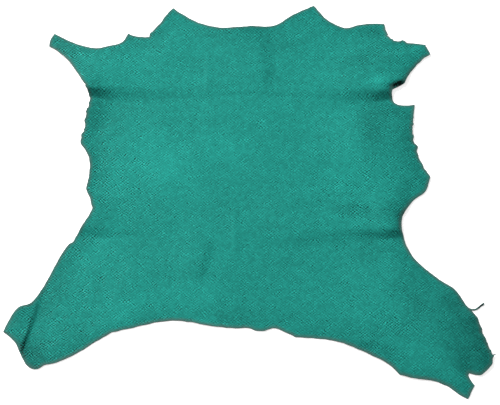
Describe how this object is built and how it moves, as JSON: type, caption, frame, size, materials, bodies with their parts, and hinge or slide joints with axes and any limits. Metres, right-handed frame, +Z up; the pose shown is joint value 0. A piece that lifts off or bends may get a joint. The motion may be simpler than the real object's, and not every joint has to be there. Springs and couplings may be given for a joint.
{
  "type": "leather hide",
  "caption": "Whole dyed goat skin with an embossed grain, lying flat with soft fold lines, a ragged cut edge, shanks and a neck.",
  "frame": {"origin": "on the ground under the middle of the skin's bounding box", "axes": "+Y from the hind shanks towards the neck, +X towards the side with the notch in its edge, +Z up, grain side up"},
  "size_m": [0.848, 0.907, 0.0168],
  "materials": {
    "grain leather": "semi-matt teal dye over a fine embossed diamond grain, with a natural tan flesh side"
  },
  "bodies": {
    "root": {"hide": "grain leather"}
  },
  "joints": []
}
